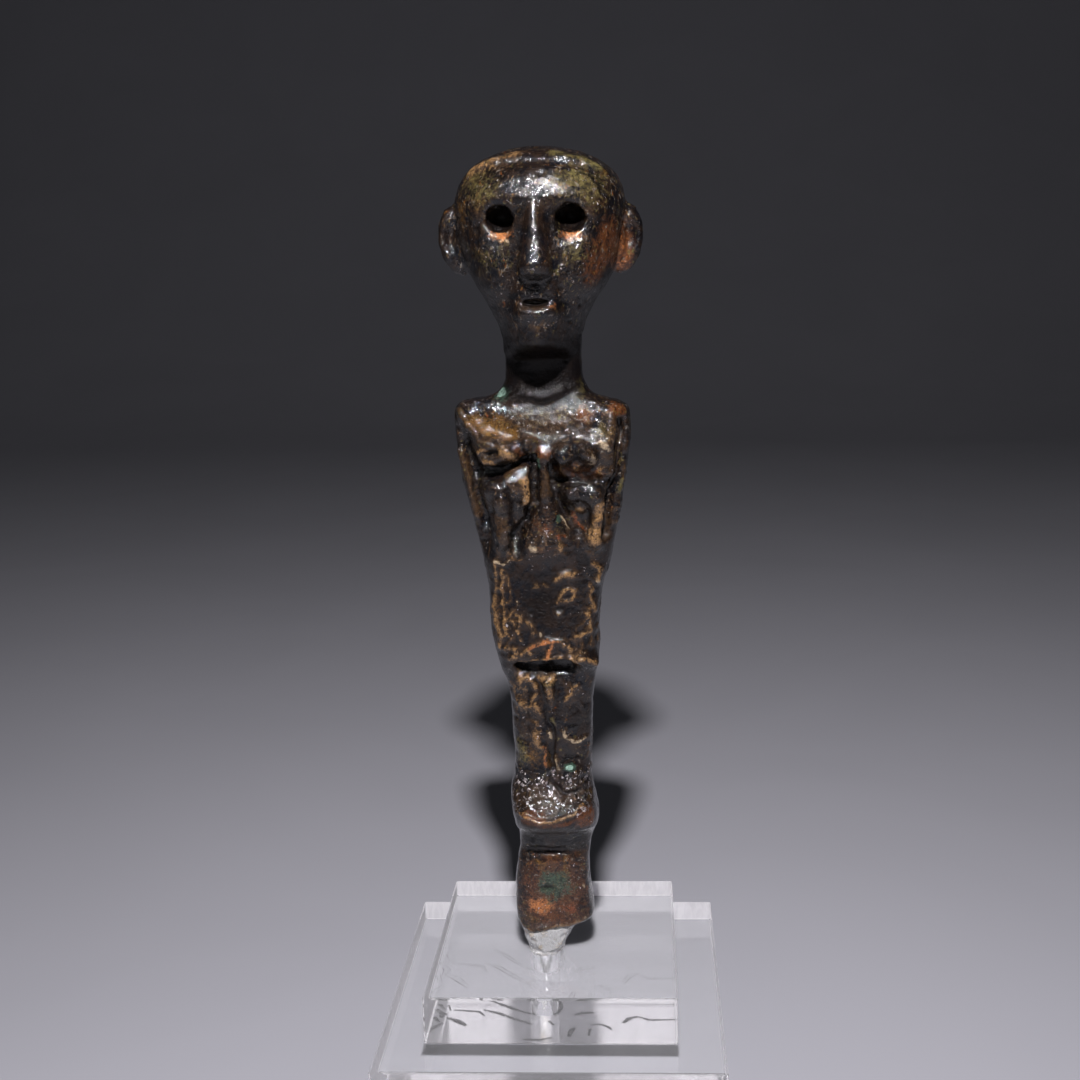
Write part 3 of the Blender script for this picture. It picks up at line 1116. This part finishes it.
def make_plate(settings):
    high = Vector(PLATE_HIGH) - Vector((0.0, 0.0, JOINT_GAP))
    obj = box_piece("lower_plate_clear", PLATE_LOW, high, settings.edge_radius)
    polished, tree, clear = acrylic_material("clear_acrylic_plate", settings)
    shade_under_block(tree, clear)
    finish_sheet(obj, polished, settings, PLATE_HIGH[0])
    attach(obj, "root")
    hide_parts("lower_plate")


# Drilled hole of the block, in millimetres, its place from the stand's middle
HOLE_AT = (-2.0, -5.5)
HOLE_RADIUS = 2.8
DRILL_LENGTH = 30.0

# Streaks of cement in the joint, as paths in millimetres from the stand's middle, each with its half width
CEMENT_STREAKS = (
    ([(-24.0, -1.6), (-22.9, -4.4)], 0.7),
    ([(-24.2, -4.6), (-22.6, -7.4), (-23.2, -9.6)], 0.75),
    ([(-24.3, -9.2), (-23.2, -12.4)], 0.7),
    ([(-21.9, -2.4), (-21.4, -5.0)], 0.4),
    ([(-22.3, -12.6), (-23.9, -15.4), (-24.2, -17.4)], 0.55),
    ([(-21.9, -9.6), (-19.6, -11.2), (-17.5, -13.7)], 0.8),
    ([(-20.7, -4.8), (-18.0, -5.2), (-15.3, -6.0), (-14.3, -8.4)], 0.35),
    ([(-14.5, -4.8), (-11.5, -6.6), (-7.6, -10.7), (-4.2, -13.6)], 0.45),
    ([(-13.9, 1.3), (-10.1, -2.4), (-7.1, -5.4), (-3.7, -7.7)], 0.4),
    ([(4.1, -7.7), (5.7, -6.5), (7.9, -5.9)], 0.75),
    ([(0.9, 1.3), (1.3, -3.5), (0.6, -7.7)], 0.55),
    ([(-0.9, -11.3), (0.2, -13.6)], 0.5),
    ([(3.3, -20.4), (3.8, -17.0), (4.5, -15.3)], 0.55),
    ([(7.5, -15.8), (7.2, -19.8)], 0.5),
    ([(-5.4, -22.2), (-2.6, -22.2), (0.1, -21.0)], 0.5),
    ([(14.3, -12.3), (15.5, -9.3), (17.1, -8.7)], 0.8),
    ([(17.1, -8.7), (19.5, -10.5), (24.4, -10.4)], 0.4),
    ([(7.5, -13.5), (9.5, -12.9), (11.1, -14.6), (11.9, -16.4)], 0.3),
    ([(-24.4, 1.3), (-22.9, 1.5)], 0.5),
    ([(-7.4, 1.3), (-5.8, 1.6)], 0.4),
)

# Height of the streaks' middle over the plate's top and half their depth, in mm
CEMENT_LIFT = 0.09
CEMENT_HALF_DEPTH = 0.05

# The joint is smoky at its left end, from this far out to where it is full, in mm
SMOKY_END = (20.6, 21.8)


def make_block(settings):
    obj = box_piece("upper_block_clear", BLOCK_LOW, BLOCK_HIGH, settings.edge_radius)
    bpy.ops.object.select_all(action="DESELECT")
    bpy.ops.mesh.primitive_cylinder_add(
        vertices=64, radius=HOLE_RADIUS * MM, depth=DRILL_LENGTH * MM,
        location=(HOLE_AT[0] * MM, HOLE_AT[1] * MM, DRILL_LENGTH * MM / 2),
    )
    drill = bpy.context.object
    apply_modifier(obj, "BOOLEAN", operation="DIFFERENCE", object=drill, solver="EXACT")
    bpy.data.objects.remove(drill)
    polished = acrylic_material("clear_acrylic_block", settings)[0]
    finish_sheet(obj, polished, settings, BLOCK_HIGH[0])
    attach(obj, "root")
    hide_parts("upper_block")


def make_cement():
    """Streaks of cement where the block meets the plate, each a flattened bead, joined in one piece."""
    bpy.ops.object.select_all(action="DESELECT")
    beads = []
    for path, half_width in CEMENT_STREAKS:
        bpy.ops.curve.primitive_nurbs_path_add(location=(0.0, 0.0, 0.0))
        bead = bpy.context.object
        curve = bead.data
        curve.splines.clear()
        spline = curve.splines.new("POLY")
        spline.points.add(len(path) - 1)
        for i, (point, (x, y)) in enumerate(zip(spline.points, path)):
            point.co = (x * MM, y * MM, 0.0, 1.0)
            point.radius = 0.55 if i in (0, len(path) - 1) else 1.0
        curve.dimensions = "3D"
        curve.bevel_depth = half_width * MM
        curve.bevel_resolution = 3
        curve.use_fill_caps = True
        beads.append(bead)
    bpy.ops.object.select_all(action="DESELECT")
    for bead in beads:
        bead.select_set(True)
    bpy.context.view_layer.objects.active = beads[0]
    bpy.ops.object.convert(target="MESH")
    bpy.ops.object.join()
    obj = bpy.context.object
    obj.name = "joint_cement"
    obj.data.name = "joint_cement"
    points = mesh_points(obj.data)
    local = points / MM
    points[:, 0] += 0.25 * lattice_noise(local, 1.6, 201) * MM
    points[:, 1] += 0.45 * lattice_noise(local, 1.6, 211) * MM
    depth = np.abs(points[:, 2]).max()
    points[:, 2] = (PLATE_TOP + CEMENT_LIFT + CEMENT_HALF_DEPTH * points[:, 2] / depth) * MM
    set_points(obj.data, points)
    put_attribute(obj.data, "smoky", smooth_step(*SMOKY_END, -local[:, 0]))
    obj.data.materials.clear()
    obj.data.materials.append(cement_material())
    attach(obj, "root")


# Share of the drilled hole's width that the stem of adhesive fills, from the plate's top up
STEM_HEIGHTS = (PLATE_TOP, PLATE_TOP + 3.0, BLOCK_TOP - 0.5)
STEM_SHARES = (0.25, 0.45, 1.0)


def make_adhesive(settings):
    """A crinkled mound under the tang, with a stem that narrows down the drilled hole."""
    obj = copy_of_node("mounting_adhesive", "adhesive_mound")
    apply_modifier(obj, "REMESH", mode="VOXEL", voxel_size=0.2 * MM)
    apply_modifier(obj, "SMOOTH", factor=0.5, iterations=3)
    mesh = obj.data
    points = mesh_points(mesh)
    normals = point_normals(mesh)
    local = points / MM
    above = smooth_step(BLOCK_TOP + 0.3, BLOCK_TOP + 1.2, local[:, 2])
    rise = (0.35 * lattice_noise(local, 2.2, 71) + 0.30 * lattice_noise(local, 1.1, 72)) * above
    rise += 0.14 * lattice_noise(local, 0.6, 73)
    points += normals * (rise * MM)[:, None]
    keep = np.interp(local[:, 2], STEM_HEIGHTS, STEM_SHARES)
    for axis in (0, 1):
        points[:, axis] = (HOLE_AT[axis] + (points[:, axis] / MM - HOLE_AT[axis]) * keep) * MM
    spread = smooth_step(BLOCK_TOP + 0.4, BLOCK_TOP + 2.2, local[:, 2])
    before = np.clip((HOLE_AT[1] - local[:, 1]) / 2.0, 0.0, 1.0)
    points[:, 0] += 0.14 * (local[:, 0] + 0.9) * spread * MM
    points[:, 1] -= 0.9 * before * spread * MM
    points[:, 2] += 0.45 * smooth_step(BLOCK_TOP + 1.2, BLOCK_TOP + 2.2, local[:, 2]) * MM
    set_points(mesh, np.clip(points, np.array(ADHESIVE_LOW), np.array(ADHESIVE_HIGH)))
    select_only(obj)
    bpy.ops.object.shade_smooth()
    mesh.materials.append(adhesive_material(settings))
    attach(obj, "root")
    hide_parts("mounting_adhesive")


def make_floor(settings):
    """Floor and a soft sweep up behind the part, both one pale sheet."""
    bpy.ops.object.select_all(action="DESELECT")
    bpy.ops.mesh.primitive_plane_add(size=1.0)
    obj = bpy.context.object
    obj.name = "studio_sweep"
    bpy.ops.object.mode_set(mode="EDIT")
    bpy.ops.transform.resize(value=(FLOOR_WIDTH, FLOOR_LENGTH, 1.0), center_override=(0.0, 0.0, 0.0))
    bpy.ops.transform.translate(value=(0.0, FLOOR_BACK, -FLOOR_DROP))
    bpy.ops.mesh.select_all(action="DESELECT")
    bpy.ops.object.mode_set(mode="OBJECT")
    for edge in obj.data.edges:
        edge.select = all(obj.data.vertices[i].co.y > 1.0 for i in edge.vertices)
    bpy.ops.object.mode_set(mode="EDIT")
    bpy.ops.mesh.select_mode(type="EDGE")
    bpy.ops.mesh.extrude_region_move(TRANSFORM_OT_translate={"value": (0.0, 0.0, SWEEP_HEIGHT)})
    bpy.ops.object.mode_set(mode="OBJECT")
    for edge in obj.data.edges:
        ends = [obj.data.vertices[i].co for i in edge.vertices]
        edge.select = all(end.y > 1.0 and end.z < 0.1 for end in ends)
    bpy.ops.object.mode_set(mode="EDIT")
    bpy.ops.mesh.bevel(offset=SWEEP_RADIUS, segments=24, affect="EDGES")
    bpy.ops.object.mode_set(mode="OBJECT")
    bpy.ops.object.shade_smooth()
    obj.data.materials.append(floor_material(settings))


def aim(obj, target):
    direction = Vector(target) - obj.location
    obj.rotation_euler = direction.to_track_quat("-Z", "Y").to_euler()


def add_light(name, at, size, power, colour):
    bpy.ops.object.light_add(type="AREA", location=at)
    light = bpy.context.object
    light.name = name
    light.data.shape = "DISK"
    light.data.size = size
    light.data.energy = power
    light.data.color = colour
    aim(light, LIT_POINT)


def make_lights(settings):
    add_light("key_light", KEY_AT, settings.key_size, settings.key_power, KEY_COLOUR)
    add_light("fill_light", FILL_AT, FILL_SIZE, settings.fill_power, FILL_COLOUR)
    bpy.context.scene.view_settings.view_transform = "Standard"
    world = bpy.data.worlds.new("studio")
    bpy.context.scene.world = world
    world.use_nodes = True
    backdrop = world.node_tree.nodes["Background"]
    backdrop.inputs["Color"].default_value = WORLD_COLOUR
    backdrop.inputs["Strength"].default_value = WORLD_STRENGTH


def make_camera():
    pitch, yaw, roll = (math.radians(value) for value in (CAMERA_PITCH, CAMERA_YAW, CAMERA_ROLL))
    turn_z = Matrix.Rotation(yaw, 3, "Z")
    turn_x = Matrix.Rotation(-pitch, 3, "X")
    turn_y = Matrix.Rotation(roll, 3, "Y")
    turned = turn_z @ turn_x @ turn_y
    right, forward, up = (turned.col[i] for i in range(3))
    placed = Matrix((right, up, -forward)).transposed().to_4x4()
    placed.translation = Vector(CAMERA_AT) * MM
    data = bpy.data.cameras.new("photo_camera")
    camera = bpy.data.objects.new("photo_camera", data)
    bpy.context.scene.collection.objects.link(camera)
    camera.matrix_world = placed
    data.sensor_width = SENSOR
    data.lens = LENS
    data.shift_x = SHIFT_X
    data.shift_y = SHIFT_Y
    data.clip_start = 0.01
    bpy.context.scene.camera = camera


# Settings, operators and panel

def colour_setting(name, description, default):
    return bpy.props.FloatVectorProperty(
        name=name, description=description, default=default, subtype="COLOR", size=3, min=0.0, max=1.0,
    )


def length_setting(name, description, default):
    return bpy.props.FloatProperty(
        name=name, description=description, default=default, unit="LENGTH", subtype="DISTANCE", precision=5,
    )


class VotiveFigureSettings(bpy.types.PropertyGroup):
    """Fine form and patina of the bronze"""
    mesh_spacing: length_setting("Mesh spacing", "Spacing of the fine mesh over the casting", 0.39 * MM)
    relief: bpy.props.FloatProperty(
        name="Relief", description="How strongly the modelled relief stands out", default=1.0,
        subtype="FACTOR",
    )
    vein_height: length_setting("Vein height", "Height of the ridged corrosion veins", 0.22 * MM)
    tan: colour_setting("Tan", "Worn tan of the raised forms", TAN)
    ochre: colour_setting("Ochre", "Ochre earth in the hollows", OCHRE)
    orange: colour_setting("Orange", "Orange corrosion", ORANGE)
    cuprite: colour_setting("Cuprite", "Red corrosion", CUPRITE)
    olive: colour_setting("Olive", "Olive film", OLIVE)
    verdigris: colour_setting("Verdigris", "Green corrosion", VERDIGRIS)


class VotiveStandSettings(bpy.types.PropertyGroup):
    """Edges and colours of the stand"""
    edge_radius: length_setting("Edge radius", "Rounding of the acrylic's edges", 0.4 * MM)
    haze: bpy.props.FloatProperty(
        name="Haze", description="Roughness of the haze and scratches", default=0.14, subtype="FACTOR",
    )
    acrylic_tint: colour_setting("Acrylic", "Colour of the clear acrylic", (0.99, 0.99, 1.0))
    sawn_tint: colour_setting("Sawn side", "Colour of the saw-cut sides", (0.97, 0.95, 0.96))
    amber: colour_setting("Amber", "Colour of the aged adhesive", (0.75, 0.5, 0.18))


class VotiveStageSettings(bpy.types.PropertyGroup):
    """Floor and lights"""
    floor_colour: colour_setting("Floor", "Colour of the floor and sweep", (0.405, 0.402, 0.440))
    key_size: length_setting("Key size", "Diameter of the key light", 0.022)
    key_power: bpy.props.FloatProperty(
        name="Key power", description="Power of the key light", default=2.6, unit="POWER",
    )
    fill_power: bpy.props.FloatProperty(
        name="Fill power", description="Power of the fill light", default=1.3, unit="POWER",
    )


class VOTIVE_OT_figure(bpy.types.Operator):
    """Build the bronze casting with its fine relief"""
    bl_idname = "votive.figure"
    bl_label = "Bronze figure"

    def execute(self, context):
        make_figure(context.scene.votive_figure)
        return {"FINISHED"}


class VOTIVE_OT_stand(bpy.types.Operator):
    """Build the acrylic plate and block with the cement between them"""
    bl_idname = "votive.stand"
    bl_label = "Acrylic stand"

    def execute(self, context):
        settings = context.scene.votive_stand
        make_plate(settings)
        make_block(settings)
        make_cement()
        return {"FINISHED"}


class VOTIVE_OT_adhesive(bpy.types.Operator):
    """Build the adhesive under the tang"""
    bl_idname = "votive.adhesive"
    bl_label = "Adhesive"

    def execute(self, context):
        make_adhesive(context.scene.votive_stand)
        return {"FINISHED"}


class VOTIVE_OT_stage(bpy.types.Operator):
    """Build the floor, the lights and the camera"""
    bl_idname = "votive.stage"
    bl_label = "Studio stage"

    def execute(self, context):
        settings = context.scene.votive_stage
        make_floor(settings)
        make_lights(settings)
        make_camera()
        return {"FINISHED"}


class VOTIVE_PT_panel(bpy.types.Panel):
    """Settings and buttons that build the figure, its stand and the stage"""
    bl_idname = "VOTIVE_PT_panel"
    bl_label = "Votive figure"
    bl_space_type = "VIEW_3D"
    bl_region_type = "UI"
    bl_category = "Votive figure"

    def draw(self, context):
        for group in ("votive_figure", "votive_stand", "votive_stage"):
            settings = getattr(context.scene, group)
            for name in settings.__annotations__:
                self.layout.prop(settings, name)
        for operator in ("votive.figure", "votive.stand", "votive.adhesive", "votive.stage"):
            self.layout.operator(operator)


CLASSES = (
    VotiveFigureSettings, VotiveStandSettings, VotiveStageSettings,
    VOTIVE_OT_figure, VOTIVE_OT_stand, VOTIVE_OT_adhesive, VOTIVE_OT_stage, VOTIVE_PT_panel,
)


def register():
    for item in CLASSES:
        bpy.utils.register_class(item)
    bpy.types.Scene.votive_figure = bpy.props.PointerProperty(type=VotiveFigureSettings)
    bpy.types.Scene.votive_stand = bpy.props.PointerProperty(type=VotiveStandSettings)
    bpy.types.Scene.votive_stage = bpy.props.PointerProperty(type=VotiveStageSettings)


def unregister():
    del bpy.types.Scene.votive_figure
    del bpy.types.Scene.votive_stand
    del bpy.types.Scene.votive_stage
    for item in reversed(CLASSES):
        bpy.utils.unregister_class(item)


def main():
    register()
    votive = bpy.ops.votive
    for operator in (votive.figure, votive.stand, votive.adhesive, votive.stage):
        if operator() != {"FINISHED"}:
            raise RuntimeError("an operator didn't finish")


if __name__ == "__main__":
    main()
